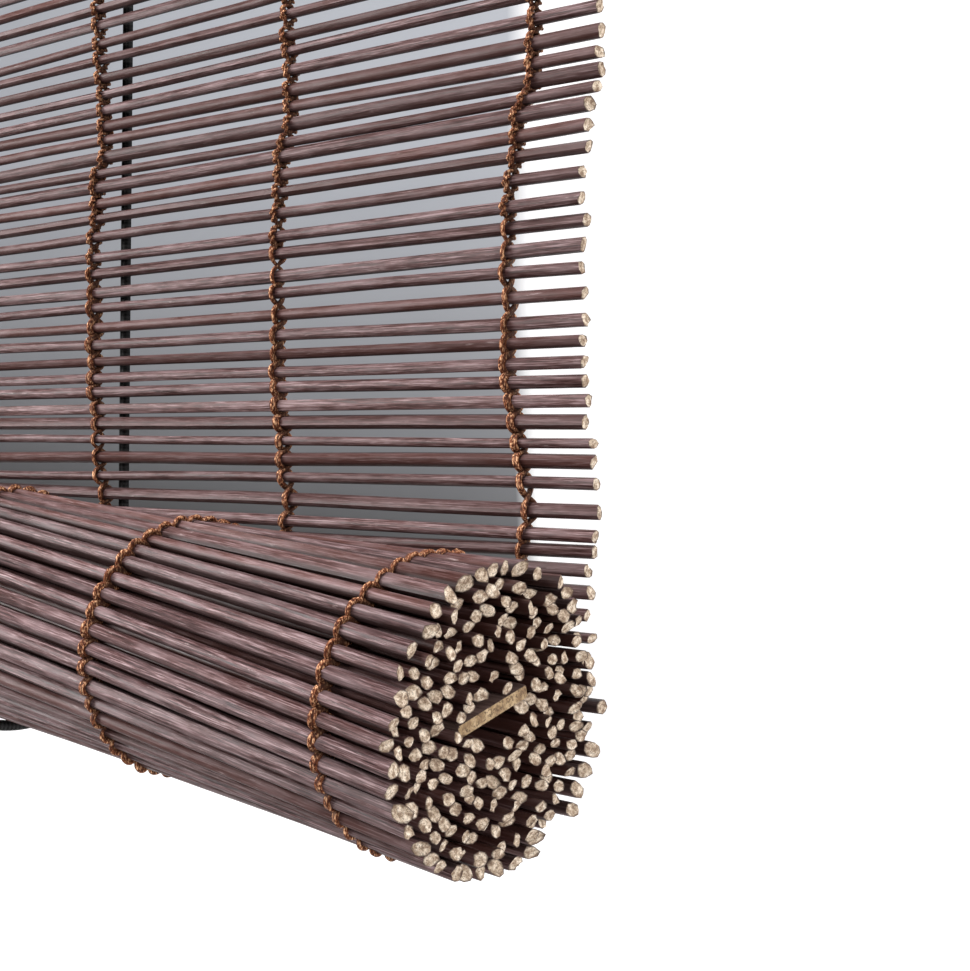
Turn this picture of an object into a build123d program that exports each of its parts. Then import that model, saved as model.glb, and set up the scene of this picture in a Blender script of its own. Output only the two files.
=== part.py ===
# Bamboo roll up blind, hung up, with its lower part rolled towards the viewer.
# Millimetres. X runs right along the reeds, Y goes back to the wall and Z is up.
# The origin lies between the two wall screws, on the rear face of the head rail.

import os
from math import atan2, cos, hypot, pi, radians, sin, tan

from build123d import *

os.makedirs("parts", exist_ok=True)

# Reed mat
blind_width = 590.0
reed_size = 3.0
reed_pitch = 4.8
hanging_reeds = 60
reed_sides = 8

# Warp twines
twine_columns = 8
twine_inset = 20.25
twine_width = 1.9
twine_thickness = 0.8
twine_stop = 12.0
twine_ring_end = 318.0

# Rolled part of the mat, measured at the middle of its thickness
roll_radius = 31.0
roll_tilt = 4.1
turn_drop = 2.8
core_half_width = 12.7
core_half_height = 5.5
core_lean = 16.0
rolled_thickness = 2.5
core_turns = 2.5
ridge_top = 1.9
groove_depth = 1.5
walk_steps_per_turn = 1440

# Bottom slat
slat_width = 22.0
slat_thickness = 3.0
slat_overlap = 0.5

# Head rail with its wall screw holes
rail_upper_height = 30.0
rail_depth = 18.0
rail_chamfer = 1.5
wall_hole_inset = 55.0
wall_hole_radius = 2.25

# Clamp strip and nails
clamp_height = 16.0
clamp_depth = 6.0
clamp_chamfer = 1.5
clamp_cover = 2.5
nail_count = 6
nail_inset = 32.5
nail_radius = 0.8
nail_head_radius = 3.0
nail_head_height = 1.2
nail_bite = 9.0
fixing_sides = 10

# Lift cords
cord_inset = 171.0
cord_diameter = 3.0
cord_clearance = 0.3
cord_sides = 8
cord_hole_depth = 10.0
cord_hole_y = -11.0
knot_radius = 2.6
knot_height = 4.5

# Pulleys
sheave_y = -31.0
sheave_z = 6.0
sheave_radius = 8.5
sheave_root_radius = 4.6
sheave_width = 6.0
sheave_rim = 0.4
sheave_sides = 36
sheave_pin_radius = 2.0
sheave_play = 0.05
side_play = 0.3
pin_end = 1.2
cheek_thickness = 1.8
cheek_nose = 5.0
nose_cut_share = 0.6
lock_pin_radius = 1.5
lock_pin_z = -5.0
lock_wall = 2.5
plate_width = 26.0
plate_bottom = -11.5
plate_top = 13.5
plate_thickness = 2.0
plate_corner = 2.0
screw_offset = 9.2
screw_radius = 1.5
screw_head_radius = 2.8
screw_head_height = 1.6
screw_bite = 11.0

# Room for cuts to run past the material
overrun = 60.0

half_width = blind_width / 2
half_reed = reed_size / 2
half_rolled = rolled_thickness / 2
cord_radius = cord_diameter / 2
tilt = radians(roll_tilt)
cord_offset = half_width - cord_inset
roll_turns = int((roll_radius - core_half_width) / turn_drop - 1 / 2) + 1 / 2
rail_top = rail_upper_height / 2
rail_height = rail_upper_height + clamp_height
rail_bottom = rail_top - rail_height
clamp_top = rail_bottom + clamp_height
mat_y = -(rail_depth + half_reed)
mat_front = mat_y - half_reed
first_reed_z = clamp_top - clamp_cover
last_reed_z = first_reed_z - (hanging_reeds - 1) * reed_pitch
seam_z = last_reed_z - reed_pitch / 2
roll_y = mat_y - roll_radius
roll_frame = Location((half_width, roll_y, seam_z), (0, roll_tilt, 0))


def roll_axis_z(x):
    """Height of the roll's axis, which is also the seam's height, at a place across the blind."""
    return seam_z + (half_width - x) * tan(tilt)


def column_places():
    """X of each warp twine."""
    first = twine_inset - half_width
    spacing = (blind_width - 2 * twine_inset) / (twine_columns - 1)
    return [first + k * spacing for k in range(twine_columns)]


def box_between(x0, x1, y0, y1, z0, z1):
    """A box from its six sides."""
    centre = ((x0 + x1) / 2, (y0 + y1) / 2, (z0 + z1) / 2)
    return Pos(*centre) * Box(x1 - x0, y1 - y0, z1 - z0)


def rod_along_x(y, z, radius, x0, x1):
    """A round rod along X."""
    return Pos((x0 + x1) / 2, y, z) * Rot(0, 90, 0) * Cylinder(radius, x1 - x0)


def rod_along_y(x, z, radius, y0, y1):
    """A round rod along Y."""
    return Pos(x, (y0 + y1) / 2, z) * Rot(90, 0, 0) * Cylinder(radius, y1 - y0)


def flat_sided_bar(y, z, radius, x0, x1):
    """A rod along X with flat sides."""
    outline = RegularPolygon(radius, fixing_sides)
    return Pos(x0, y, z) * extrude(Plane.YZ * outline, amount=x1 - x0)


def flat_sided_rod(x, z, radius, y0, y1):
    """A rod along Y with flat sides, for small fixings and their holes."""
    outline = RegularPolygon(radius, fixing_sides)
    return Pos(x, y1, z) * extrude(Plane.XZ * outline, amount=y1 - y0)


def prism_along_x(points, x0, x1):
    """A closed outline in Y and Z, pushed along X."""
    outline = make_face(Polyline(*points, close=True))
    return Pos(x0, 0, 0) * extrude(Plane.YZ * outline, amount=x1 - x0)


# Everything below the seam, where the hanging mat turns into the roll
below_seam = roll_frame * box_between(
    -blind_width - overrun, overrun, -overrun, roll_radius + overrun, -2 * overrun, 0
)


def hanging_mat():
    """Reeds side by side, tied along the right-hand twine, cut off where the roll begins."""
    corner_angle = pi / reed_sides
    corner_radius = half_reed / cos(corner_angle)
    corners = []
    for k in range(reed_sides):
        angle = corner_angle * (2 * k + 1)
        corners.append((corner_radius * cos(angle), corner_radius * sin(angle)))
    reed = prism_along_x(corners, -half_width, half_width)
    reeds = []
    for k in range(hanging_reeds):
        reeds.append(Pos(0, mat_y, first_reed_z - k * reed_pitch) * reed)
    half_flat = half_reed * tan(corner_angle)
    half_tie = twine_width / 2
    tie_x = column_places()[-1]
    tie = box_between(
        tie_x - half_tie, tie_x + half_tie, mat_y - half_flat, mat_y + half_flat, seam_z, first_reed_z
    )
    return Part() + reeds + tie - below_seam


def spiral_point(angle):
    """Point of the roll's spiral, from the rear, down, under and up the front, in Y and Z."""
    turn = angle / (2 * pi)
    long_half = roll_radius - turn_drop * turn
    short_half = roll_radius - (roll_radius - core_half_height) * turn / roll_turns
    lean = angle + radians(core_lean)
    radius = 1 / hypot(cos(lean) / long_half, sin(lean) / short_half)
    return (radius * cos(angle), -radius * sin(angle))


def spiral_stations():
    """Places half a reed pitch apart along the spiral, each with its point, direction and outside."""
    step = 2 * pi / walk_steps_per_turn
    stations = []
    length = 0
    wanted = 0
    here = spiral_point(0)
    for k in range(int(roll_turns * walk_steps_per_turn)):
        after = spiral_point((k + 1) * step)
        run = hypot(after[0] - here[0], after[1] - here[1])
        if length + run > wanted:
            share = (wanted - length) / run
            along = ((after[0] - here[0]) / run, (after[1] - here[1]) / run)
            place = (here[0] + share * run * along[0], here[1] + share * run * along[1])
            outside = (-along[1], along[0])
            if outside[0] * place[0] + outside[1] * place[1] < 0:
                outside = (along[1], -along[0])
            if not stations:
                along = (0, -1)
                outside = (1, 0)
            stations.append((place, along, outside, k * step))
            wanted = wanted + reed_pitch / 2
        length = length + run
        here = after
    if len(stations) % 2 == 0:
        stations.pop()
    return stations


stations = spiral_stations()
roll_reeds = stations[1::2]


def offset_point(station, along_by, outside_by):
    """A point beside a station, in Y and Z of the roll."""
    place, along, outside, angle = station
    y = place[0] + along_by * along[0] + outside_by * outside[0]
    z = place[1] + along_by * along[1] + outside_by * outside[1]
    return (y, z)


def rolled_mat():
    """The turns of the roll: one long band with a ridge for each reed on its outside."""
    outer = [offset_point(stations[0], 0, half_rolled - groove_depth)]
    for k in range(1, len(stations), 2):
        outer.append(offset_point(stations[k], -ridge_top / 2, half_rolled))
        outer.append(offset_point(stations[k], ridge_top / 2, half_rolled))
        outer.append(offset_point(stations[k + 1], 0, half_rolled - groove_depth))
    inner = []
    for k, station in enumerate(stations):
        if k % 2 == 0 or station[3] > (roll_turns - core_turns) * 2 * pi:
            inner.append(offset_point(station, 0, -half_rolled))
    return prism_along_x(outer + inner[::-1], -blind_width, 0)


def bottom_slat():
    """The flat lath at the end of the mat, lying on the last reed in the core of the roll."""
    lean = radians(core_lean)
    y, z = offset_point(stations[-1], 0, -half_rolled)
    front = y * cos(lean) + z * sin(lean) - slat_overlap
    bottom = z * cos(lean) - y * sin(lean)
    lath = box_between(-blind_width, 0, front, front + slat_width, bottom, bottom + slat_thickness)
    return Rot(core_lean, 0, 0) * lath


def pair_edge(first, second, height):
    """The straight run of twine over two reeds: a point on it and its direction."""
    start = offset_point(first, ridge_top / 2, height)
    end = offset_point(second, -ridge_top / 2, height)
    length = hypot(end[0] - start[0], end[1] - start[1])
    return start, ((end[0] - start[0]) / length, (end[1] - start[1]) / length)


def meeting_point(first, second):
    """Where two straight runs cross."""
    p, a = first
    q, b = second
    cross = a[0] * b[1] - a[1] * b[0]
    share = ((q[0] - p[0]) * b[1] - (q[1] - p[1]) * b[0]) / cross
    return (p[0] + share * a[0], p[1] + share * a[1])


def twine_ring():
    """One twine on the outside of the roll's outer turn, straight over each two reeds."""
    reeds = [reed for reed in roll_reeds if reed[3] < radians(twine_ring_end)]
    pairs = list(zip(reeds[0::2], reeds[1::2]))
    seam = ((0, 0), (1, 0))
    loops = []
    for height in (half_rolled, half_rolled + twine_thickness):
        runs = [pair_edge(first, second, height) for first, second in pairs]
        loop = [meeting_point(seam, runs[0])]
        for first, second in zip(runs, runs[1:]):
            loop.append(meeting_point(first, second))
        loop.append(offset_point(pairs[-1][1], -ridge_top / 2, height))
        loops.append(loop)
    return prism_along_x(loops[0] + loops[1][::-1], -twine_width / 2, twine_width / 2)


def warp_twine(x, ring):
    """One twine: down the front and the back of the hanging mat, and on round the roll."""
    half = twine_width / 2
    stop = roll_axis_z(x) + twine_stop
    front = box_between(x - half, x + half, mat_front - twine_thickness, mat_front, stop, rail_bottom)
    rear = box_between(
        x - half, x + half, -rail_depth, twine_thickness - rail_depth, last_reed_z - overrun, rail_bottom
    )
    round_roll = roll_frame * Pos((x - half_width) / cos(tilt), 0, 0) * ring
    return front + (rear - below_seam + round_roll)


groove_mouth = sheave_width / 2 - sheave_rim
groove_wall = hypot(groove_mouth, sheave_radius - sheave_root_radius)
sheave_loop = sheave_root_radius + (cord_radius + cord_clearance) * groove_wall / groove_mouth


def cord_route(x):
    """Points and arcs of a lift cord: rail, behind the mat, under the roll, up to the sheave, lock."""
    roll_centre = (roll_y, roll_axis_z(x))
    roll_loop = (roll_radius + half_rolled) / cos(tilt) + cord_clearance + cord_radius
    sheave_centre = (sheave_y, sheave_z)
    anchor = (cord_hole_y, rail_bottom + cord_hole_depth)

    def tangent(far, far_radius, side):
        span = (far[0] - roll_centre[0], far[1] - roll_centre[1])
        distance = hypot(*span)
        ahead = (span[0] / distance, span[1] / distance)
        lean_share = (roll_loop - far_radius) / distance
        side_share = side * (1 - lean_share**2) ** 0.5
        return (
            lean_share * ahead[0] + side_share * ahead[1],
            lean_share * ahead[1] - side_share * ahead[0],
        )

    def on_circle(centre, radius, direction):
        return (centre[0] + radius * direction[0], centre[1] + radius * direction[1])

    rear = tangent(anchor, 0, 1)
    front = tangent(sheave_centre, sheave_loop, -1)
    turn_start = atan2(rear[1], rear[0])
    turn_end = atan2(front[1], front[0])
    if turn_end > turn_start:
        turn_end = turn_end - 2 * pi
    under = (turn_start + turn_end) / 2
    over = (atan2(front[1], front[0]) % (2 * pi)) / 2
    points = [
        anchor,
        on_circle(roll_centre, roll_loop, rear),
        on_circle(roll_centre, roll_loop, (cos(under), sin(under))),
        on_circle(roll_centre, roll_loop, front),
        on_circle(sheave_centre, sheave_loop, front),
        on_circle(sheave_centre, sheave_loop, (cos(over), sin(over))),
        on_circle(sheave_centre, sheave_loop, (1, 0)),
        (sheave_y + sheave_loop, lock_pin_z - lock_pin_radius),
    ]
    return [Vector(x, y, z) for y, z in points]


def lift_cord(x):
    """A lift cord with its end knot."""
    start, roll_rear, roll_under, roll_front, wheel_front, wheel_top, wheel_rear, end = cord_route(x)
    runs = [
        Line(start, roll_rear),
        ThreePointArc(roll_rear, roll_under, roll_front),
        Line(roll_front, wheel_front),
        ThreePointArc(wheel_front, wheel_top, wheel_rear),
        Line(wheel_rear, end),
    ]
    path = Wire(runs)
    print("lift cord at", x, "length", round(path.length, 1))
    outline = RegularPolygon(cord_radius, cord_sides)
    section = Plane(origin=start, x_dir=(1, 0, 0), z_dir=roll_rear - start) * outline
    knot = extrude(RegularPolygon(knot_radius, cord_sides), amount=knot_height)
    return sweep(section, path=path) + Pos(end.X, end.Y, end.Z - knot_height) * knot


def sheave(x):
    """A grooved wheel of flat facets with a round bore."""
    half = sheave_width / 2
    rings = [
        (-half, sheave_radius),
        (-groove_mouth, sheave_radius),
        (0, sheave_root_radius),
        (groove_mouth, sheave_radius),
        (half, sheave_radius),
    ]

    def corner(ring, k):
        angle = 2 * pi * (k % sheave_sides) / sheave_sides
        return (ring[0], ring[1] * cos(angle), ring[1] * sin(angle))

    sides = range(sheave_sides)
    facets = []
    for near, far in zip(rings, rings[1:]):
        for k in sides:
            quad = [corner(near, k), corner(near, k + 1), corner(far, k + 1), corner(far, k)]
            facets.append(Face(Wire.make_polygon(quad)))
    for ring in (rings[0], rings[-1]):
        facets.append(Face(Wire.make_polygon([corner(ring, k) for k in sides])))
    bore = Rot(0, 90, 0) * Cylinder(sheave_pin_radius + sheave_play, sheave_width + overrun)
    return Pos(x, sheave_y, sheave_z) * (Solid(Shell(facets)) - bore)


cheek_inside = sheave_width / 2 + side_play
cheek_outside = cheek_inside + cheek_thickness
plate_front = -rail_depth - plate_thickness
lock_pin_y = sheave_y + sheave_loop - cord_radius - lock_pin_radius


def pulley_bracket(x):
    """Back plate with two cheeks that carry the pins."""
    plate_height = plate_top - plate_bottom
    plate_outline = Rectangle(plate_width, plate_height)
    plate_outline = chamfer(plate_outline.vertices(), plate_corner)
    plate = extrude(Plane.XZ * plate_outline, amount=plate_thickness)
    bracket = Pos(x, -rail_depth, (plate_top + plate_bottom) / 2) * plate
    lock_front = lock_pin_y - lock_wall
    lock_bottom = lock_pin_z - lock_wall
    nose_top = sheave_z + cheek_nose
    nose_front = sheave_y - cheek_nose
    nose_cut = cheek_nose * nose_cut_share
    outline = [
        (plate_front, nose_top),
        (nose_front + nose_cut, nose_top),
        (nose_front, nose_top - nose_cut),
        (nose_front, sheave_z - cheek_nose + nose_cut),
        (nose_front + nose_cut, sheave_z - cheek_nose),
        (lock_front, lock_pin_z),
        (lock_front, lock_bottom),
        (plate_front, lock_bottom),
    ]
    edges = Polyline(*outline, close=True)
    cheek = extrude(Plane.YZ * make_face(edges), amount=cheek_thickness)
    bracket = bracket + Pos(x + cheek_inside, 0, 0) * cheek + Pos(x - cheek_outside, 0, 0) * cheek
    holes = [
        rod_along_x(sheave_y, sheave_z, sheave_pin_radius, x - plate_width, x + plate_width),
        flat_sided_bar(lock_pin_y, lock_pin_z, lock_pin_radius, x - plate_width, x + plate_width),
    ]
    for side in (-1, 1):
        holes.append(flat_sided_rod(x + side * screw_offset, 0, screw_radius, plate_front - overrun, 0))
    return bracket - holes


def sheave_pin(x):
    """A plain pin through the sheave and both cheeks."""
    half = cheek_outside + pin_end
    return rod_along_x(sheave_y, sheave_z, sheave_pin_radius, x - half, x + half)


def lock_pin(x):
    """The fixed pin that the cord's end is pinched behind."""
    return flat_sided_bar(lock_pin_y, lock_pin_z, lock_pin_radius, x - cheek_outside, x + cheek_outside)


def bracket_screws():
    """Two screws in each bracket."""
    screws = []
    for x in (-cord_offset, cord_offset):
        for side in (-1, 1):
            place = x + side * screw_offset
            head_front = plate_front - screw_head_height
            shank_end = screw_bite - rail_depth
            head = flat_sided_rod(place, 0, screw_head_radius, head_front, plate_front)
            screws.append(head + flat_sided_rod(place, 0, screw_radius, plate_front, shank_end))
    return screws


def clamp_nails():
    """Nails through the clamp strip, between the first two reeds, into the rail."""
    z = first_reed_z - reed_pitch / 2
    clamp_front = mat_front - clamp_depth
    nails = []
    for k in range(nail_count):
        x = nail_inset - half_width + k * (blind_width - 2 * nail_inset) / (nail_count - 1)
        head = flat_sided_rod(x, z, nail_head_radius, clamp_front - nail_head_height, clamp_front)
        nails.append(head + flat_sided_rod(x, z, nail_radius, clamp_front, nail_bite - rail_depth))
    return nails


def clamp_strip(nails):
    """The lath that holds the top reeds on the rail."""
    strip = box_between(-half_width, half_width, mat_front - clamp_depth, mat_front, rail_bottom, clamp_top)
    front_edges = strip.edges().filter_by(Axis.X).sort_by(Axis.Y)[:2]
    return chamfer(front_edges, clamp_chamfer) - nails


def head_rail(fixings):
    """The batten on the wall, with its screw holes and the holes of what is fixed in it."""
    rail = box_between(-half_width, half_width, -rail_depth, 0, rail_bottom, rail_top)
    top_edges = rail.edges().filter_by(Axis.X).sort_by(Axis.Z)[-2:]
    rail = chamfer(top_edges, rail_chamfer)
    holes = []
    for side in (-1, 1):
        x = side * (half_width - wall_hole_inset)
        holes.append(rod_along_y(x, 0, wall_hole_radius, -rail_depth - overrun, overrun))
    return rail - holes - fixings


def save(node, shape):
    """One file for each node."""
    export_step(shape, "parts/" + node + ".step")


sides = {"left": -cord_offset, "right": cord_offset}
nails = clamp_nails()
screws = bracket_screws()
cords = {name: lift_cord(x) for name, x in sides.items()}

save("head_rail", head_rail(nails + screws + list(cords.values())))
save("clamp_strip", clamp_strip(nails))
save("clamp_nails", Compound(nails))
save("bracket_screws", Compound(screws))
save("hanging_mat", hanging_mat())
save("rolled_mat", roll_frame * rolled_mat())
save("bottom_slat", roll_frame * bottom_slat())

ring = twine_ring()
for number, x in enumerate(column_places(), start=1):
    save("warp_twine_" + str(number), warp_twine(x, ring))

for name, x in sides.items():
    save("lift_cord_" + name, cords[name])
    save("pulley_bracket_" + name, pulley_bracket(x))
    save("sheave_" + name, sheave(x))
    save("sheave_pin_" + name, sheave_pin(x))
    save("lock_pin_" + name, lock_pin(x))

print("reeds in the roll", len(roll_reeds))
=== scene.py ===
# %% [markdown]
# # A bamboo roll up blind
# A mat of thin stained reeds, tied with eight columns of twine, hangs from a head rail. Its lower part
# is rolled round a flat slat and lies in the loops of two lift cords. The measured model gives the frame,
# and this lesson dresses it: first the camera, then the mat's lines, reeds, twine, cords and finishes.

# %% Load the measured model
import math

import bpy
import numpy as np
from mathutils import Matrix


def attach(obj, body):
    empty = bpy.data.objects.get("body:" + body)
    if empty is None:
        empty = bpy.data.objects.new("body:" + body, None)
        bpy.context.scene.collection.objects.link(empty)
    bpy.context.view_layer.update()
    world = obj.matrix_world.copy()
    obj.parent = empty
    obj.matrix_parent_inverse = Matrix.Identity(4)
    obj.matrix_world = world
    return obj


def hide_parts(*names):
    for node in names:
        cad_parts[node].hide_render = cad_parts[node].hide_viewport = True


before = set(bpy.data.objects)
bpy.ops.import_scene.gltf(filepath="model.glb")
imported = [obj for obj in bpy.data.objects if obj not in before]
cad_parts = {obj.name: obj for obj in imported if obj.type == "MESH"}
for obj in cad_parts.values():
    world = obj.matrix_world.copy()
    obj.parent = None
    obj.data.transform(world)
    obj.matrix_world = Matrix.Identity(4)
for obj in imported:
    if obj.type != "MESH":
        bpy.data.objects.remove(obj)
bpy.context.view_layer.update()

# %% [markdown]
# ## Camera
# The picture is taken from the right, a little below the middle of the mat, and looks along the roll.
# The place and the lens were worked out from the lines of the reeds, so the model needs no fitting.

# %% Camera
MM = 0.001
PHOTO_WIDTH = 970
SENSOR_WIDTH = 36
FOCAL_PIXELS = 1610
CAMERA_PLACE = (0.5061, -0.3013, -0.2453)
CAMERA_YAW = 40.58
CAMERA_PITCH = 1.85
CLIP_START = 0.02

camera_data = bpy.data.cameras.new("camera")
camera_data.sensor_fit = "HORIZONTAL"
camera_data.sensor_width = SENSOR_WIDTH
camera_data.lens = FOCAL_PIXELS / PHOTO_WIDTH * SENSOR_WIDTH
camera_data.clip_start = CLIP_START
camera = bpy.data.objects.new("camera", camera_data)
bpy.context.scene.collection.objects.link(camera)
camera.location = CAMERA_PLACE
camera.rotation_euler = (math.radians(90 - CAMERA_PITCH), 0, math.radians(CAMERA_YAW))
bpy.context.scene.camera = camera
print("lens", round(camera_data.lens, 2))

# %% [markdown]
# ## The lines of the mat
# Every reed, in the sheet or in the roll, is a line on one long mat. A distance `wound` is counted along
# the mat from the seam where the sheet meets the roll: negative up the sheet, positive into the spiral.
# The roll leans a little, so each reed winds further round the roll towards its left end.

# %% Sizes of the mat
HALF_WIDTH = 295.0
REED_LENGTH = 590.0
REED_PITCH = 4.8
OUTER_PITCH = 4.35
INNER_PITCH = 3.6
HANGING_REEDS = 60
FIRST_REED_Z = -17.5
SEAM_Z = -303.1
ROLL_Y = -50.5
ROLL_RADIUS = 31.0
ROLL_TURNS = 6.5
TURN_DROP = 2.8
CORE_HALF_HEIGHT = 5.5
CORE_LEAN = math.radians(16)
ROLL_TILT = math.radians(4.1)
CLAMP_BOTTOM = -31.0
print("mat", REED_LENGTH, "mm wide, roll", 2 * ROLL_RADIUS, "mm thick")

# %% The spiral
SPIRAL_POINTS = 9361
angles = np.linspace(0, 2 * math.pi * ROLL_TURNS, SPIRAL_POINTS)
turns = angles / (2 * math.pi)
long_half = ROLL_RADIUS - TURN_DROP * turns
short_half = ROLL_RADIUS - (ROLL_RADIUS - CORE_HALF_HEIGHT) * turns / ROLL_TURNS
reach = 1 / np.hypot(np.cos(angles + CORE_LEAN) / long_half, np.sin(angles + CORE_LEAN) / short_half)
steps = np.hypot(np.diff(reach * np.cos(angles)), np.diff(reach * np.sin(angles)))
lengths = np.concatenate([[0], np.cumsum(steps)])
FIRST_TURN = float(np.interp(2 * math.pi, angles, lengths))
LAST_WOUND = float(lengths[-1])
print("first turn", round(FIRST_TURN), "whole spiral", round(LAST_WOUND))


def polar(wound):
    """Angle and radius on the spiral."""
    angle = np.interp(wound, lengths, angles)
    return angle, np.interp(wound, lengths, reach)


def to_world(along, across, height):
    """Millimetres in the leaning frame of the roll to metres in the shared frame."""
    x = HALF_WIDTH + along * math.cos(ROLL_TILT) + height * math.sin(ROLL_TILT)
    z = SEAM_Z - along * math.sin(ROLL_TILT) + height * math.cos(ROLL_TILT)
    return np.stack([x, ROLL_Y + across, z], axis=-1) * MM


# %% [markdown]
# ## How the reeds lie
# Split reeds are never quite straight, and the mat has been handled: the right edge wanders by a few
# millimetres and the gaps open and close. The wander is a short table that is read smoothly, and each
# reed has a bend of its own from a seeded draw, so the blind is the same every time.

# %% Draw the reeds of the sheet
REED_SEED = 47
EDGE_REEDS = (0, 14, 28, 31, 33, 35, 38, 41, 44, 47, 50, 51, 53, 56, 59)
EDGE_SHIFT = (0, -1.5, 2.7, 2.5, 0.2, -0.4, -1.9, -1.4, -2.0, -0.2, 1.0, 2.9, 0.6, 0.2, 0)
EDGE_RISE = (0, 0.8, -1.4, -0.4, 1.9, 2.5, 0.9, -0.3, -1.1, 0.5, 0.8, -0.1, 0.4, 1.4, 0)
SHEET_RADIUS = 1.52
OUTER_RADIUS = 1.70
INNER_RADIUS = 1.44
RADIUS_SPREAD = 0.10
RADIUS_LIMIT = 0.22
CUT_LIMIT = 1.6
END_LIMIT = 2
WAVES = (1.0, 2.1, 3.7, 9.3)
SHEET_DARKEN = 0.3
SHEET_DARKEN_SPREAD = 0.6
draw = np.random.default_rng(REED_SEED)


def new_reed(wound, shift, rise):
    """The numbers that make one reed: its place, its bend, its section and its cut ends."""
    thick = SHEET_RADIUS if wound <= 0 else OUTER_RADIUS if wound < FIRST_TURN else INNER_RADIUS
    return {
        "wound": wound,
        "shift": shift,
        "rise": rise,
        "radius": float(thick + np.clip(draw.normal(0, RADIUS_SPREAD), -RADIUS_LIMIT, RADIUS_LIMIT)),
        "bends": draw.normal(0, 1, (len(WAVES), 2)),
        "phases": draw.uniform(0, 2 * math.pi, len(WAVES)),
        "oval": draw.normal(0, 1, 4),
        "cuts": np.clip(draw.normal(0, 1, (2, 2)), -CUT_LIMIT, CUT_LIMIT),
        "ends": np.clip(draw.normal(0, 1, 2), -END_LIMIT, END_LIMIT),
        "tint_and_shade": draw.uniform(0, 1, 3),
        "grain": draw.uniform(-1, 1, 3),
        "nudge": (0.0, 0.0),
        "follow": 1.0,
    }


sheet_reeds = []
for k in range(HANGING_REEDS):
    drop = FIRST_REED_Z - REED_PITCH * k - SEAM_Z
    shift = float(np.interp(k, EDGE_REEDS, EDGE_SHIFT))
    rise = float(np.interp(k, EDGE_REEDS, EDGE_RISE))
    reed = new_reed(-drop, shift, rise)
    reed["tint_and_shade"][2] = SHEET_DARKEN + SHEET_DARKEN_SPREAD * reed["tint_and_shade"][2]
    sheet_reeds.append(reed)
print("reeds in the sheet", len(sheet_reeds))

# %% Draw the reeds of the roll
roll_reeds = []
wound = OUTER_PITCH / 2
while wound < LAST_WOUND - OUTER_PITCH / 2:
    roll_reeds.append(new_reed(wound, 0.0, 0.0))
    wound += OUTER_PITCH if wound < FIRST_TURN else INNER_PITCH
for reed in roll_reeds:
    inner = (reed["wound"] - FIRST_TURN) / (LAST_WOUND - FIRST_TURN)
    reed["follow"] = float(np.clip(1 - inner, 0, 1))
    # The reeds inside the outer turn get the darkest third tone: painted shade for the inside of the roll.
    reed["tint_and_shade"][2] = float(inner > 0)
print("reeds in the roll", len(roll_reeds))

# %% [markdown]
# In the roll the turns press into each other. Seen from the end, every reed is a disc: discs that overlap
# push each other apart a little at a time, the outer turn stays where it is, and the slat in the core
# keeps its room. What is left is a dense but uneven packing, with a hollow under the slat.

# %% Settle the roll
SLAT_WIDTH = 22.0
SLAT_THICKNESS = 3.0
HOLLOW_WIDTH = 15.0
HOLLOW_HEIGHT = 6.0
HOLLOW_DROP = 4.4
HOLLOW_ASIDE = 2.0
SOFT_APART = 4.0
SETTLE_STEPS = 700
OUTER_FREE = 0.03
OUTER_HOLD = 0.2
INNER_HOLD = 0.0005
ROOM_RANGE = (0.88, 1.12)
START_SPREAD = 0.35
SOFT_PUSH = 0.1
HARD_PUSH = 0.4
TOUCH_SPACE = 1.05
HOLLOW_PUSH = 2.0
FAR_AWAY = 99
TINY = 1e-6
lean_axis = np.array([math.cos(CORE_LEAN), math.sin(CORE_LEAN)])
rise_axis = np.array([-math.sin(CORE_LEAN), math.cos(CORE_LEAN)])
wounds = np.array([r["wound"] for r in roll_reeds])
radii = np.array([r["radius"] for r in roll_reeds])
roll_angles, roll_reach = polar(wounds)
home = np.stack([roll_reach * np.cos(roll_angles), -roll_reach * np.sin(roll_angles)], axis=1)
free = np.where(wounds < FIRST_TURN, OUTER_FREE, 1.0)
hold = np.where(wounds < FIRST_TURN, OUTER_HOLD, INNER_HOLD)
room = SOFT_APART / 2 * draw.uniform(*ROOM_RANGE, len(wounds))
places = home + draw.normal(0, START_SPREAD, home.shape) * free[:, None]


def slat_middle():
    """The middle of the slat's section in the roll's own frame, read from the measured slat."""
    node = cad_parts["bottom_slat"]
    points = np.array([v.co for v in node.data.vertices]) / MM
    centre = points.mean(axis=0)
    turn_x = centre[0] - HALF_WIDTH
    turn_z = centre[2] - SEAM_Z
    height = turn_x * math.sin(ROLL_TILT) + turn_z * math.cos(ROLL_TILT)
    return np.array([centre[1] - ROLL_Y, height])


slat_centre = slat_middle()
hollow_centre = slat_centre - HOLLOW_DROP * rise_axis + HOLLOW_ASIDE * lean_axis


def push_discs(points):
    """Discs that overlap move apart, and near ones drift a little further."""
    gap = points[:, None, :] - points[None, :, :]
    far = np.linalg.norm(gap, axis=2) + np.eye(len(points)) * FAR_AWAY
    touch = radii[:, None] + radii[None, :]
    soft = np.clip(room[:, None] + room[None, :] - far, 0, None)
    hard = np.clip(TOUCH_SPACE * touch - far, 0, None)
    press = SOFT_PUSH * soft + HARD_PUSH * hard
    share = free[:, None] / (free[:, None] + free[None, :])
    return points + (gap / far[:, :, None] * (press * share)[:, :, None]).sum(axis=1)


def clear_slat(points):
    """Discs on the slat move off it by the nearest side."""
    u = (points - slat_centre) @ lean_axis
    v = (points - slat_centre) @ rise_axis
    over_u = SLAT_WIDTH / 2 + radii - np.abs(u)
    over_v = SLAT_THICKNESS / 2 + radii - np.abs(v)
    inside = (over_u > 0) & (over_v > 0)
    points = points + np.where(inside & (over_v <= over_u), over_v * np.sign(v), 0)[:, None] * rise_axis
    return points + np.where(inside & (over_u < over_v), over_u * np.sign(u), 0)[:, None] * lean_axis


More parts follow.
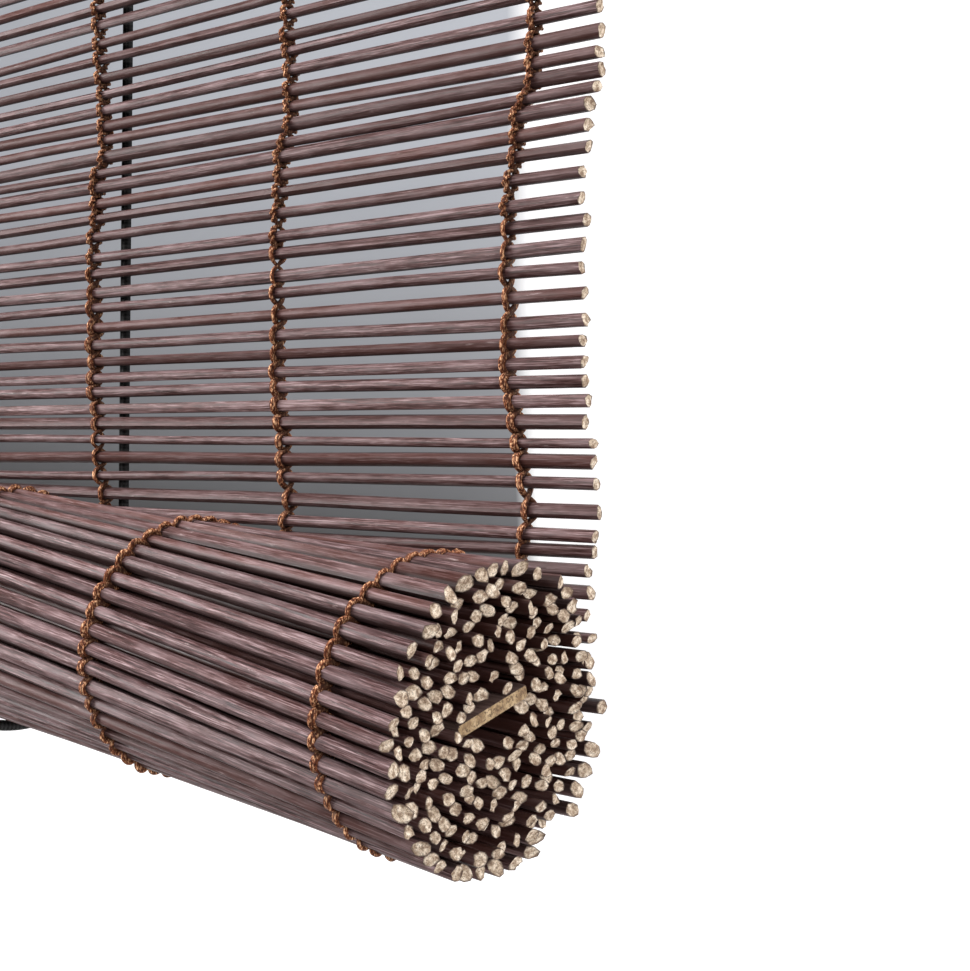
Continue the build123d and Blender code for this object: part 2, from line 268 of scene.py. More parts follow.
def clear_hollow(points):
    """Discs in the hollow under the slat move outwards."""
    apart = points - hollow_centre
    depth = np.hypot(apart @ lean_axis / HOLLOW_WIDTH * 2, apart @ rise_axis / HOLLOW_HEIGHT * 2)
    outward = apart / (np.linalg.norm(apart, axis=1, keepdims=True) + TINY)
    return points + np.clip(1 - depth, 0, None)[:, None] * HOLLOW_PUSH * outward * free[:, None]


for _ in range(SETTLE_STEPS):
    places = clear_hollow(clear_slat(push_discs(places)))
    places = places + (home - places) * hold[:, None]
settled = np.arctan2(-places[:, 1], places[:, 0])
for k, reed in enumerate(roll_reeds):
    turn = (settled[k] - roll_angles[k] + math.pi) % (2 * math.pi) - math.pi
    reed["nudge"] = (float(np.linalg.norm(places[k]) - roll_reach[k]), float(turn))
print("largest nudge", round(max(abs(r["nudge"][0]) for r in roll_reeds), 2))

# %% [markdown]
# ## One line for every reed
# `reed_line` gives the middle of a reed at distances from its right end, with the two directions that
# its round section needs: away from the mat's face, and across the reed along the mat.

# %% Line of a reed
BEND_SHEET = 0.37
BEND_ROLL = 0.12
ROLL_BEND_OUT = 0.3
WAVE_SIZES = np.array([1.0, 0.9, 0.7, 0.4])
FLARE_SHARE = 0.085
FLARE_LENGTH = 35.0


def reed_line(reed, from_right):
    """Centre points in metres, outward and crosswise directions, along one reed."""
    rolled = reed["wound"] > 0
    t = np.asarray(from_right, float)
    waves = np.array([np.sin(w * math.pi * t / REED_LENGTH + p) for w, p in zip(WAVES, reed["phases"])])
    size = BEND_ROLL if rolled else BEND_SHEET
    bend_out, bend_along = (reed["bends"].T * WAVE_SIZES @ waves) * size
    near_right = np.clip(1 - t / REED_LENGTH, 0, 1)
    if rolled:
        along = reed["shift"] - t * math.cos(ROLL_TILT)
        wound = reed["wound"] + t * math.sin(ROLL_TILT) * reed["follow"]
    else:
        drop = -reed["wound"] + reed["rise"] * near_right
        along = reed["shift"] - t * math.cos(ROLL_TILT) - drop * math.sin(ROLL_TILT)
        wound = t * math.sin(ROLL_TILT) - drop * math.cos(ROLL_TILT)
    wound = wound - bend_along
    angle, radius = polar(np.clip(wound, 0, LAST_WOUND))
    angle = angle + reed["nudge"][1]
    flare = 1 + FLARE_SHARE * rolled * (np.exp(-t / FLARE_LENGTH) + np.exp((t - REED_LENGTH) / FLARE_LENGTH))
    radius = (radius + reed["nudge"][0]) * flare + bend_out * (ROLL_BEND_OUT if rolled else 1)
    flat = np.clip(-wound, 0, None)
    cos, sin = np.cos(angle), np.sin(angle)
    centre = to_world(along, radius * cos, flat - radius * sin)
    zero = np.zeros_like(cos)
    outward = to_world(zero, cos, -sin) - to_world(zero, zero, zero)
    crosswise = to_world(zero, sin, cos) - to_world(zero, zero, zero)
    return centre, outward / MM, crosswise / MM


middle = reed_line(sheet_reeds[HANGING_REEDS // 2], [0.0, HALF_WIDTH, REED_LENGTH])[0]
print("a reed of the sheet runs", middle.round(4).tolist())

# %% [markdown]
# ## Finishes of the reeds
# The stain is a dark brown with a mauve bloom. Fine streaks run along each reed, some reeds are redder,
# and pale scuffs show where the skin was rubbed. The pattern reads an attribute that holds each point's
# place on its own straight reed, so the grain follows the reed round the roll. A second attribute says
# which way a point faces: the sides turned from the light get a painted shade, nearly black, so each
# reed stands out. The reeds inside the roll's outer turn get a painted shade as well.

# %% Small helpers for materials
MIX_SOCKETS = (0, 6, 7)


def new_material(name):
    """A material with an empty node tree, its output and its main shader."""
    material = bpy.data.materials.new(name)
    material.use_nodes = True
    nodes = material.node_tree.nodes
    nodes.clear()
    output = nodes.new("ShaderNodeOutputMaterial")
    shader = nodes.new("ShaderNodeBsdfPrincipled")
    material.node_tree.links.new(shader.outputs[0], output.inputs[0])
    return material, shader


def add_node(material, kind, inputs=None, **settings):
    """A node with its settings, its inputs set or linked."""
    node = material.node_tree.nodes.new("ShaderNode" + kind)
    for name, value in settings.items():
        setattr(node, name, value)
    for key, value in (inputs or {}).items():
        if isinstance(value, bpy.types.NodeSocket):
            material.node_tree.links.new(value, node.inputs[key])
        else:
            node.inputs[key].default_value = value
    return node


def attribute(material, name, output="Fac"):
    """A value that a mesh keeps on its points."""
    return add_node(material, "Attribute", attribute_name=name).outputs[output]


def noise(material, place, stretch, detail=3.0, rough=0.55):
    """Noise between 0 and 1, in a space stretched by a scale for each axis."""
    space = add_node(material, "Mapping", {"Vector": place, "Scale": stretch}).outputs[0]
    inputs = {"Vector": space, "Scale": 1.0, "Detail": detail, "Roughness": rough}
    return add_node(material, "TexNoise", inputs).outputs[0]


def ramp(material, value, *stops):
    """Colour ramp from (place, colour) stops."""
    node = add_node(material, "ValToRGB", {"Fac": value})
    while len(node.color_ramp.elements) < len(stops):
        node.color_ramp.elements.new(0.5)
    for element, (place, colour) in zip(node.color_ramp.elements, stops):
        element.position = place
        element.color = (*colour, 1)
    return node.outputs[0]


def step_up(material, value, low, high, to_low=0.0, to_high=1.0):
    """A value brought from one range to another, held at its ends."""
    inputs = {"Value": value, "From Min": low, "From Max": high, "To Min": to_low, "To Max": to_high}
    return add_node(material, "MapRange", inputs).outputs[0]


def mix(material, share, first, second):
    """Two colours mixed by a share."""
    node = add_node(material, "Mix", data_type="RGBA")
    for socket, value in zip(MIX_SOCKETS, (share, first, second)):
        if isinstance(value, bpy.types.NodeSocket):
            material.node_tree.links.new(value, node.inputs[socket])
        else:
            node.inputs[socket].default_value = (*value, 1)
    return node.outputs[2]


def times(material, first, second, operation="MULTIPLY"):
    """Two numbers put together."""
    return add_node(material, "Math", {0: first, 1: second}, operation=operation).outputs[0]


def finish_shader(material, shader, colour, roughness, height, bump, depth, specular=0.5):
    """Colour, roughness, bump and shine to the main shader."""
    links = material.node_tree.links
    shader.inputs["Specular IOR Level"].default_value = specular
    links.new(colour, shader.inputs["Base Color"])
    links.new(roughness, shader.inputs["Roughness"])
    inputs = {"Height": height, "Strength": bump, "Distance": depth}
    links.new(add_node(material, "Bump", inputs).outputs[0], shader.inputs["Normal"])


print("helpers ready")

# %% Stained reed skin
DARKEN_MOST = 0.72


def stained_reed():
    """Dark stain with a mauve bloom, streaks, scuffs and redder reeds, with painted shade on the sides turned
    from the light and on the roll's inner reeds.
    """
    material, shader = new_material("reed_skin")
    place = attribute(material, "reed_grain", "Vector")
    tint_and_shade = attribute(material, "reed_tint_and_shade", "Color")
    tint_and_shade_parts = add_node(material, "SeparateColor", {"Color": tint_and_shade}).outputs
    long_streaks = noise(material, place, (40, 2200, 2200), 4.0, 0.6)
    short_streaks = noise(material, place, (170, 3600, 3600), 3.0, 0.6)
    streaks = times(material, times(material, long_streaks, short_streaks, "ADD"), 0.5)
    cloud = noise(material, place, (60, 260, 260))
    scuff = noise(material, place, (130, 1300, 1300), 5.0, 0.72)
    base = ramp(
        material,
        streaks,
        (0.39, (0.014, 0.0055, 0.005)),
        (0.47, (0.070, 0.032, 0.031)),
        (0.53, (0.145, 0.079, 0.078)),
        (0.62, (0.38, 0.275, 0.28)),
    )
    redder = step_up(material, tint_and_shade_parts[1], 0.66, 1.0, 0.0, 0.6)
    coloured = mix(material, redder, base, (0.105, 0.038, 0.028))
    toned = mix(material, step_up(material, tint_and_shade_parts[0], 0, 1, 0.0, 0.34), coloured, (0.034, 0.016, 0.015))
    bloomed = mix(material, step_up(material, cloud, 0.46, 0.72, 0.0, 0.38), toned, (0.29, 0.21, 0.215))
    scuffs = step_up(material, scuff, 0.62, 0.72, 0.0, 0.7)
    scuffed = mix(material, scuffs, bloomed, (0.42, 0.33, 0.32))
    # Painted shade: the sides of each reed turned from the light are darkened nearly to black.
    facing_shade = attribute(material, "reed_painted_shade")
    side_shaded = mix(material, step_up(material, facing_shade, -0.25, 0.5, 0.85, 0.0), scuffed, (0.014, 0.006, 0.005))
    # The third tone darkens each sheet reed at random and gives the roll's inner reeds a painted shade.
    final = mix(material, times(material, tint_and_shade_parts[2], DARKEN_MOST), side_shaded, (0.036, 0.012, 0.009))
    roughness = step_up(material, streaks, 0.38, 0.62, 0.38, 0.58)
    finish_shader(material, shader, final, roughness, streaks, 0.45, 0.0003, 0.22)
    return material


# %% Pale cut ends


def cut_reed():
    """The pale pith at a cut end, with dark pores and a stained rim."""
    material, shader = new_material("reed_pith")
    place = attribute(material, "reed_grain", "Vector")
    rim = attribute(material, "reed_rim")
    cloud = noise(material, place, (300, 900, 900))
    pores = add_node(material, "TexVoronoi", {"Vector": place, "Scale": 2300.0}).outputs["Distance"]
    specks = noise(material, place, (2400, 2400, 2400), 3.0, 0.7)
    pith = ramp(
        material,
        cloud,
        (0.36, (0.26, 0.17, 0.11)),
        (0.50, (0.58, 0.455, 0.335)),
        (0.66, (0.90, 0.78, 0.64)),
    )
    holed = mix(material, step_up(material, pores, 0.16, 0.30, 0.6, 0.0), pith, (0.12, 0.066, 0.04))
    speckled = mix(material, step_up(material, specks, 0.50, 0.62, 0.0, 0.7), holed, (0.13, 0.075, 0.045))
    rimmed = mix(material, step_up(material, rim, 0.80, 0.97, 0.0, 0.9), speckled, (0.06, 0.033, 0.025))
    roughness = step_up(material, cloud, 0.3, 0.7, 0.7, 0.9)
    finish_shader(material, shader, rimmed, roughness, specks, 0.5, 0.0003)
    return material


reed_skin = stained_reed()
reed_cut = cut_reed()
print("finishes", reed_skin.name, reed_cut.name)

# %% [markdown]
# ## One reed, then many
# A cylinder is the natural start for a reed. Its long edges are divided, its end faces are inset so that
# a cut end has a rim and a middle, and it gets the two finishes. Each copy then has its own mesh, laid
# along its own line with its own section, bend and slanting cuts.

# %% Model one reed
REED_SIDES = 9
SHEET_STEPS = 20
ROLL_STEPS = 6
END_INSET = 0.22
LONG_EDGE = 0.5
END_FACING = 0.9


def select_none():
    """Leave nothing selected, as every operator acts on all that is."""
    if bpy.context.object and bpy.context.object.mode != "OBJECT":
        bpy.ops.object.mode_set(mode="OBJECT")
    bpy.ops.object.select_all(action="DESELECT")


def select_all(objects):
    """Select these objects, with the first one active."""
    select_none()
    for piece in objects:
        piece.select_set(True)
    bpy.context.view_layer.objects.active = objects[0]


def model_reed(steps):
    """A reed of length 1 and radius 1 along X, with divided sides and inset ends."""
    select_none()
    along_x = (0, math.pi / 2, 0)
    bpy.ops.mesh.primitive_cylinder_add(vertices=REED_SIDES, radius=1, depth=1, rotation=along_x)
    reed = bpy.context.object
    bpy.ops.object.transform_apply(location=True, rotation=True, scale=True)
    bpy.context.tool_settings.mesh_select_mode = (False, True, False)
    for item in (*reed.data.vertices, *reed.data.polygons):
        item.select = False
    for edge in reed.data.edges:
        first, second = (reed.data.vertices[v].co.x for v in edge.vertices)
        edge.select = abs(first - second) > LONG_EDGE
    bpy.ops.object.mode_set(mode="EDIT")
    bpy.ops.mesh.subdivide(number_cuts=steps - 1)
    bpy.ops.mesh.select_all(action="DESELECT")
    bpy.ops.object.mode_set(mode="OBJECT")
    bpy.context.tool_settings.mesh_select_mode = (False, False, True)
    for face in reed.data.polygons:
        face.select = abs(face.normal.x) > END_FACING
    bpy.ops.object.mode_set(mode="EDIT")
    bpy.ops.mesh.inset(thickness=END_INSET, use_individual=True)
    bpy.ops.object.mode_set(mode="OBJECT")
    reed.data.materials.append(reed_skin)
    reed.data.materials.append(reed_cut)
    for face in reed.data.polygons:
        face.material_index = int(abs(face.normal.x) > END_FACING)
    return reed


def reed_master(steps):
    """A modelled reed, with the place of each of its points along and round it."""
    reed = model_reed(steps)
    points = np.array([v.co for v in reed.data.vertices])
    return {
        "reed": reed,
        "share": 0.5 - points[:, 0],
        "reach": np.hypot(points[:, 1], points[:, 2]),
        "angle": np.arctan2(points[:, 2], points[:, 1]),
    }


sheet_master = reed_master(SHEET_STEPS)
roll_master = reed_master(ROLL_STEPS)
print("faces of a reed", [len(m["reed"].data.polygons) for m in (sheet_master, roll_master)])

# %% Lay copies of the reed along their lines
ROUGH_END_SHEET = 0.5
ROUGH_END_ROLL = 1.2
CUT_SLOPE_SHEET = 0.168
CUT_SLOPE_ROLL = 0.288
CUT_TURN = 0.22
END_SHARE = 0.001
OVAL_SIZE = 0.07
BUMP_SIZE = 0.06
SWELL_SIZE = 0.03
SWELL_WAVES = 7
SWELL_TURN = 3
GRAIN_APART = 0.5
CUT_EDGE = math.radians(50)
CHIP_SIZE = 0.20
# How the painted shade on a reed's sides follows the way each point faces.
SIDE_SHADE_START = -0.1
SIDE_SHADE_FRONT = 0.9
SIDE_SHADE_UP = 0.3
SIDE_SHADE_DOWN_ROLL = 0.7
CHIP_SEED = 29
chips = np.random.default_rng(CHIP_SEED)


def section_radius(reed, share, angle):
    """The uneven radius of a split reed, in millimetres."""
    first, second, third, fourth = reed["oval"]
    oval = OVAL_SIZE * first * np.cos(2 * angle + second)
    bumps = BUMP_SIZE * third * np.cos(3 * angle + fourth)
    swell = SWELL_SIZE * np.sin(SWELL_WAVES * share + first * SWELL_TURN)
    return reed["radius"] * (1 + oval + bumps) * (1 + swell)


def point_values(piece, name, values, kind="FLOAT", field="value"):
    """Values kept on the points of a mesh, for its finish to read."""
    piece.data.attributes.new(name, kind, "POINT").data.foreach_set(field, np.ravel(values))


def lay_reed(reed, master):
    """A copy of the reed, bent along its line, with its own grain, tone and painted shade."""
    copy = master["reed"].copy()
    copy.data = master["reed"].data.copy()
    bpy.context.scene.collection.objects.link(copy)
    share, reach, angle = master["share"], master["reach"], master["angle"]
    is_rolled = reed["wound"] > 0
    rough = ROUGH_END_ROLL if is_rolled else ROUGH_END_SHEET
    slope = CUT_SLOPE_ROLL if is_rolled else CUT_SLOPE_SHEET
    radius = section_radius(reed, share, angle) * reach
    out_by = radius * np.cos(angle)
    cross_by = radius * np.sin(angle)
    t = share * REED_LENGTH
    outward, crosswise = reed_line(reed, t)[1:]
    rearward = out_by * outward[:, 1] + cross_by * crosswise[:, 1]
    for end, at_end in enumerate((share < END_SHARE, share > 1 - END_SHARE)):
        slant = slope * (reed["cuts"][end, 0] * out_by + reed["cuts"][end, 1] * cross_by)
        turned = CUT_TURN * is_rolled * rearward * (-1 if end == 0 else 1)
        chip = CHIP_SIZE * chips.normal(0, 1, len(share))
        t = t + at_end * (rough * reed["ends"][end] + slant + turned + chip)
    centre, outward, crosswise = reed_line(reed, t)
    points = centre + (outward * out_by[:, None] + crosswise * cross_by[:, None]) * MM
    copy.data.vertices.foreach_set("co", points.ravel())
    grain = np.stack([t, out_by, cross_by], axis=1) * MM + reed["grain"] * GRAIN_APART
    point_values(copy, "reed_grain", grain, "FLOAT_VECTOR", "vector")
    tint_and_shade = np.tile([*reed["tint_and_shade"], 1.0], (len(points), 1))
    point_values(copy, "reed_tint_and_shade", tint_and_shade, "FLOAT_COLOR", "color")
    point_values(copy, "reed_rim", reach)
    # Painted shade by facing: in the sheet the rear and lower sides, in the roll the inner side and one
    # flank.
    if is_rolled:
        facing_shade = np.cos(angle) - SIDE_SHADE_DOWN_ROLL * np.sin(angle)
    else:
        facing_shade = SIDE_SHADE_START - SIDE_SHADE_FRONT * np.cos(angle) + SIDE_SHADE_UP * np.sin(angle)
    point_values(copy, "reed_painted_shade", facing_shade)
    return copy


def join_pieces(objects, name):
    """Copies joined to one piece with smooth sides and sharp cuts."""
    select_all(objects)
    bpy.ops.object.join()
    piece = bpy.context.object
    piece.name = name
    bpy.ops.object.mode_set(mode="EDIT")
    bpy.ops.mesh.select_all(action="SELECT")
    bpy.ops.mesh.normals_make_consistent(inside=False)
    bpy.ops.object.mode_set(mode="OBJECT")
    bpy.ops.object.shade_smooth_by_angle(angle=CUT_EDGE)
    return piece


hanging = join_pieces([lay_reed(r, sheet_master) for r in sheet_reeds], "hanging_reeds")
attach(hanging, "root")
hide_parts("hanging_mat")
rolled = join_pieces([lay_reed(r, roll_master) for r in roll_reeds], "rolled_reeds")
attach(rolled, "root")
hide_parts("rolled_mat")
for master in (sheet_master, roll_master):
    bpy.data.objects.remove(master["reed"])
print("faces of the sheet", len(hanging.data.polygons), "of the roll", len(rolled.data.polygons))

# %% [markdown]
# ## Twine
# Each column is twined: two strands swap at every reed, one in front and one behind, and cross in the gap.
# A strand is itself two plies laid together, so its section has two lobes and turns as it goes. A NURBS
# line through the crossings, with a bevel profile and a tilt, makes that without any drawing by hand.

# %% Twine finish


def twine_finish():
    """Copper brown plies with golden fibres, painted shade in the grooves between plies and painted shade
    where a strand runs close to a reed.
    """
    material, shader = new_material("twine_fibre")
    place = add_node(material, "TexCoord").outputs["Object"]
    fibre = noise(material, place, (2600, 2600, 900), 4.0, 0.65)
    cloud = noise(material, place, (260, 260, 260), 2.0)
    base = ramp(
        material,
        fibre,
        (0.38, (0.028, 0.008, 0.004)),
        (0.47, (0.110, 0.030, 0.013)),
        (0.55, (0.31, 0.105, 0.045)),
        (0.60, (0.88, 0.52, 0.29)),
    )
    near_reed_shade = attribute(material, "twine_front")
    lobe = attribute(material, "twine_lobe")
    clouded = mix(material, step_up(material, cloud, 0.45, 0.75, 0.0, 0.5), base, (0.11, 0.032, 0.013))
    # Painted shade in the groove between the two plies.
    groove_shaded = mix(material, step_up(material, lobe, 0.0, 0.6, 0.9, 0.0), clouded, (0.012, 0.005, 0.003))
    # Painted shade where a strand runs close to a reed, through the gaps between reeds.
    final = mix(material, step_up(material, near_reed_shade, 0.3, 1.15, 0.85, 0.0), groove_shaded, (0.030, 0.011, 0.006))
    roughness = step_up(material, fibre, 0.3, 0.7, 0.55, 0.78)
    finish_shader(material, shader, final, roughness, fibre, 0.6, 0.0003, 0.15)
    return material


twine_fibre = twine_finish()
print("finish", twine_fibre.name)

# %% Section of a strand
PLY_RADIUS = 0.50
PLY_OFFSET = 0.45
STRAND_POINTS = 10


def strand_profile():
    """A two lobed outline, as a small closed curve."""
    curve = bpy.data.curves.new("strand_section", "CURVE")
    curve.dimensions = "2D"
    spline = curve.splines.new("POLY")
    spline.points.add(STRAND_POINTS - 1)
    for k, point in enumerate(spline.points):
        turn = 2 * math.pi * k / STRAND_POINTS
        lobe = PLY_OFFSET * abs(math.cos(turn))
        lobe += math.sqrt(PLY_RADIUS**2 - (PLY_OFFSET * math.sin(turn)) ** 2)
        point.co = (lobe * math.cos(turn) * MM, lobe * math.sin(turn) * MM, 0, 1)
    spline.use_cyclic_u = True
    section = bpy.data.objects.new("strand_section", curve)
    bpy.context.scene.collection.objects.link(section)
    return section


section = strand_profile()
print("strand section", STRAND_POINTS, "points")

# %% Twine columns
TWINE_COLUMNS = 8
TWINE_INSET = 20.25
TWINE_END_ANGLE = math.radians(318)
STRAND_RADIUS = 0.64
STRAND_STEPS = 5
OVER_RUN = 1.25
GAP_SPREAD = 0.7
PLY_LAY = 3.4
LINE_SHARE = 0.8
CURVE_ORDER = 3
STAND_OFF = 2.0
CLAMP_CLEAR = 1.0
EDGE_COLUMN = 60
INNER_WANDER = 0.25
COLUMN_WANDER = (0, -0.8, 2.2, 1.6, 0.0, -0.6, -1.6, -1.6, -1.2, -0.4, 0.6, 0.8, 0.5, 0.2, 0)


def crossings(place):
    """The reeds that one column of twine crosses, from the clamp to the top of the roll."""
    found = []
    for k, reed in enumerate(sheet_reeds):
        wander = float(np.interp(k, EDGE_REEDS, COLUMN_WANDER)) * (1 if place < EDGE_COLUMN else INNER_WANDER)
        centre, outward = reed_line(reed, [place - wander])[:2]
        if centre[0, 2] < (CLAMP_BOTTOM - CLAMP_CLEAR) * MM:
            found.append((centre[0], outward[0], reed["radius"]))
    for reed in roll_reeds:
        wound = reed["wound"] + place * math.sin(ROLL_TILT) * reed["follow"]
        if polar(wound)[0] < TWINE_END_ANGLE:
            centre, outward = reed_line(reed, [place])[:2]
            found.append((centre[0], outward[0], reed["radius"]))
    return found


def strand_points(crossed, hand):
    """Control points of one strand: over or under each reed, and beside its partner in each gap."""
    points = []
    for k, (centre, outward, radius) in enumerate(crossed):
        side = hand if k % 2 == 0 else -hand
        before = crossed[max(k - 1, 0)][0]
        after = crossed[min(k + 1, len(crossed) - 1)][0]
        onward = (after - before) / np.linalg.norm(after - before)
        over = centre + outward * side * (radius + STRAND_RADIUS) * MM
        points.append(over - onward * OVER_RUN * MM)
        points.append(over + onward * OVER_RUN * MM)
        if k + 1 < len(crossed):
            beside = np.array([side * STRAND_RADIUS * GAP_SPREAD * MM, 0, 0])
            points.append((centre + after) / 2 + beside)
    return points


def nurbs_curve(points, name, steps, closed=False):
    """A NURBS line by its control points in metres, still without a thickness."""
    curve = bpy.data.curves.new(name, "CURVE")
    curve.dimensions = "3D"
    curve.use_fill_caps = True
    spline = curve.splines.new("NURBS")
    spline.points.add(len(points) - 1)
    for point, place in zip(spline.points, points):
        point.co = (*place, 1)
    spline.order_u = CURVE_ORDER
    spline.use_endpoint_u = not closed
    spline.use_cyclic_u = closed
    spline.resolution_u = steps
    made = bpy.data.objects.new(name, curve)
    bpy.context.scene.collection.objects.link(made)
    return made


def strand(points, name):
    """A strand of two plies, which turn by a tilt that grows along its line."""
    made = nurbs_curve(points, name, STRAND_STEPS)
    runs = np.linalg.norm(np.diff(points, axis=0), axis=1) / MM * LINE_SHARE
    for point, gone in zip(made.data.splines[0].points, np.concatenate([[0], np.cumsum(runs)])):
        point.tilt = 2 * math.pi * gone / PLY_LAY
    made.data.bevel_mode = "OBJECT"
    made.data.bevel_object = section
    return made


def make_mesh(objects, name, material):
    """Curves turned to one mesh with a finish."""
    select_all(objects)
    bpy.ops.object.convert(target="MESH")
    bpy.ops.object.join()
    piece = bpy.context.object
    piece.name = name
    piece.data.materials.clear()
    piece.data.materials.append(material)
    bpy.ops.object.shade_smooth()
    return piece


def mark_twine(piece, crossed):
    """How far each point stands off its reed, most on a crossing, and its place on a lobe: the finish paints
    shade where either is low.
    """
    points = np.array([v.co for v in piece.data.vertices])
    centres = np.array([crossing[0] for crossing in crossed])
    outs = np.array([crossing[1] for crossing in crossed])
    near = np.array([np.argmin(((centres - p) ** 2).sum(axis=1)) for p in points])
    stand = np.abs(((points - centres[near]) * outs[near]).sum(axis=1)) / (STAND_OFF * MM)
    point_values(piece, "twine_front", stand)
    turn = 2 * math.pi * (np.arange(len(points)) % STRAND_POINTS) / STRAND_POINTS
    point_values(piece, "twine_lobe", np.abs(np.cos(turn)))


twine_faces = 0
spacing = (REED_LENGTH - 2 * TWINE_INSET) / (TWINE_COLUMNS - 1)
for k in range(TWINE_COLUMNS):
    crossed = crossings(REED_LENGTH - TWINE_INSET - k * spacing)
    strands = [strand(strand_points(crossed, hand), f"strand_{k}_{hand}") for hand in (1, -1)]
    twine = make_mesh(strands, f"twine_column_{k + 1}", twine_fibre)
    mark_twine(twine, crossed)
    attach(twine, "root")
    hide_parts(f"warp_twine_{k + 1}")
    twine_faces += len(twine.data.polygons)
bpy.data.objects.remove(section)
print("faces of all the twine", twine_faces)

# %% [markdown]
# ## Bottom slat
# The mat ends in a flat lath of the same wood, seen at the middle of the roll's end: pale where it is cut,
# stained on its faces. A cube at the slat's size is bevelled and turned to its place.

# %% Slat finishes
GRAIN_STRETCH = 0.02


def wood_finish(name, dark, middle, pale, grain_scale, rough=(0.4, 0.6)):
    """Stained wood with grain along X."""
    material, shader = new_material(name)
    place = add_node(material, "TexCoord").outputs["Object"]
    grain = noise(material, place, (grain_scale * GRAIN_STRETCH, grain_scale, grain_scale), 5.0, 0.6)
    cloud = noise(material, place, (6, 60, 60), 2.0)
    base = ramp(material, grain, (0.3, dark), (0.5, middle), (0.72, pale))
    final = mix(material, step_up(material, cloud, 0.4, 0.7, 0.0, 0.5), base, dark)
    roughness = step_up(material, grain, 0.3, 0.7, *rough)
    finish_shader(material, shader, final, roughness, grain, 0.3, 0.0003, 0.25)
    return material


def slat_end_finish():
    """Pale end grain with dark specks."""
    material, shader = new_material("slat_end_grain")
    place = add_node(material, "TexCoord").outputs["Object"]
    cloud = noise(material, place, (400, 400, 400))
    specks = noise(material, place, (1500, 1500, 1500), 4.0, 0.75)
    pith = ramp(
        material,
        cloud,
        (0.35, (0.22, 0.13, 0.06)),
        (0.52, (0.40, 0.275, 0.145)),
        (0.70, (0.58, 0.43, 0.26)),
    )
    final = mix(material, step_up(material, specks, 0.49, 0.60, 0.0, 0.9), pith, (0.075, 0.038, 0.018))
    roughness = step_up(material, cloud, 0.3, 0.7, 0.7, 0.9)
    finish_shader(material, shader, final, roughness, specks, 0.5, 0.0003)
    return material


slat_wood = wood_finish("slat_stain", (0.030, 0.016, 0.013), (0.085, 0.052, 0.045), (0.16, 0.11, 0.10), 1500)
slat_end = slat_end_finish()
print("finishes", slat_wood.name, slat_end.name)

# %% Model the slat
SLAT_BEVEL = 0.5
BEVEL_STEPS = 2
SLAT_EDGE = math.radians(40)


def model_slat():
    """A bevelled lath in the lean of the core, along the axis of the roll."""
    select_none()
    bpy.ops.mesh.primitive_cube_add(size=1)
    slat = bpy.context.object
    slat.name = "slat"
    slat.scale = (REED_LENGTH * MM, SLAT_WIDTH * MM, SLAT_THICKNESS * MM)
    bpy.ops.object.transform_apply(location=False, rotation=False, scale=True)
    bevel = slat.modifiers.new("edges", "BEVEL")
    bevel.width = SLAT_BEVEL * MM
    bevel.segments = BEVEL_STEPS
    bpy.ops.object.modifier_apply(modifier="edges")
    slat.data.materials.append(slat_wood)
    slat.data.materials.append(slat_end)
    for face in slat.data.polygons:
        face.material_index = int(abs(face.normal.x) > END_FACING)
    points = np.array([v.co for v in slat.data.vertices]) / MM
    section_points = slat_centre + points[:, 1:2] * lean_axis + points[:, 2:3] * rise_axis
    placed = to_world(points[:, 0] - REED_LENGTH / 2, section_points[:, 0], section_points[:, 1])
    slat.data.vertices.foreach_set("co", placed.ravel())
    slat.data.update()
    bpy.ops.object.shade_smooth_by_angle(angle=SLAT_EDGE)
    return slat


slat = model_slat()
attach(slat, "root")
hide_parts("bottom_slat")
print("slat", [tuple(round(c, 4) for c in corner) for corner in slat.bound_box[:2]])

# %% [markdown]
# ## Lift cords
# A black braided cord starts under the rail, runs down behind the mat, goes under the roll, climbs its
# front and passes over a sheave to a knot on the lock pin. Its line is a NURBS curve whose control points
# stand round the roll and the sheave like the corners of a tight polygon, so the line hugs both circles.

# %% Cord finish


def cord_finish():
    """Black braid: two crossing sets of yarns with a soft shine."""
    material, shader = new_material("cord_braid")
    place = add_node(material, "UVMap", uv_map="braid").outputs["UV"]
    parts = add_node(material, "SeparateXYZ", {"Vector": place}).outputs
    one = times(material, times(material, parts[0], parts[1], "ADD"), 2 * math.pi)
    other = times(material, times(material, parts[0], parts[1], "SUBTRACT"), 2 * math.pi)
    yarn_one = add_node(material, "Math", {0: one}, operation="SINE").outputs[0]
    yarn_other = add_node(material, "Math", {0: other}, operation="SINE").outputs[0]
    braid = step_up(material, times(material, yarn_one, yarn_other), -1, 1)
    fibre = noise(material, place, (6, 6, 6))
    colour = ramp(material, braid, (0.2, (0.004, 0.004, 0.004)), (0.8, (0.022, 0.021, 0.021)))
    final = mix(material, step_up(material, fibre, 0.5, 0.8, 0.0, 0.5), colour, (0.035, 0.033, 0.032))
    roughness = step_up(material, fibre, 0.3, 0.7, 0.5, 0.7)
    finish_shader(material, shader, final, roughness, braid, 0.6, 0.0004, 0.12)
    return material


cord_braid = cord_finish()
print("finish", cord_braid.name)

# %% Route of a cord
CORD_PLACES = {"left": -124.0, "right": 124.0}
CORD_RADIUS = 1.5
ROLL_LOOP = 34.12
SHEAVE_LOOP = 7.84
SHEAVE_Y = -31.0
SHEAVE_Z = 6.0
ANCHOR = (-11.0, -21.0)
CORD_END_Z = -6.5
ROLL_CORNERS = 6
SHEAVE_CORNERS = 4


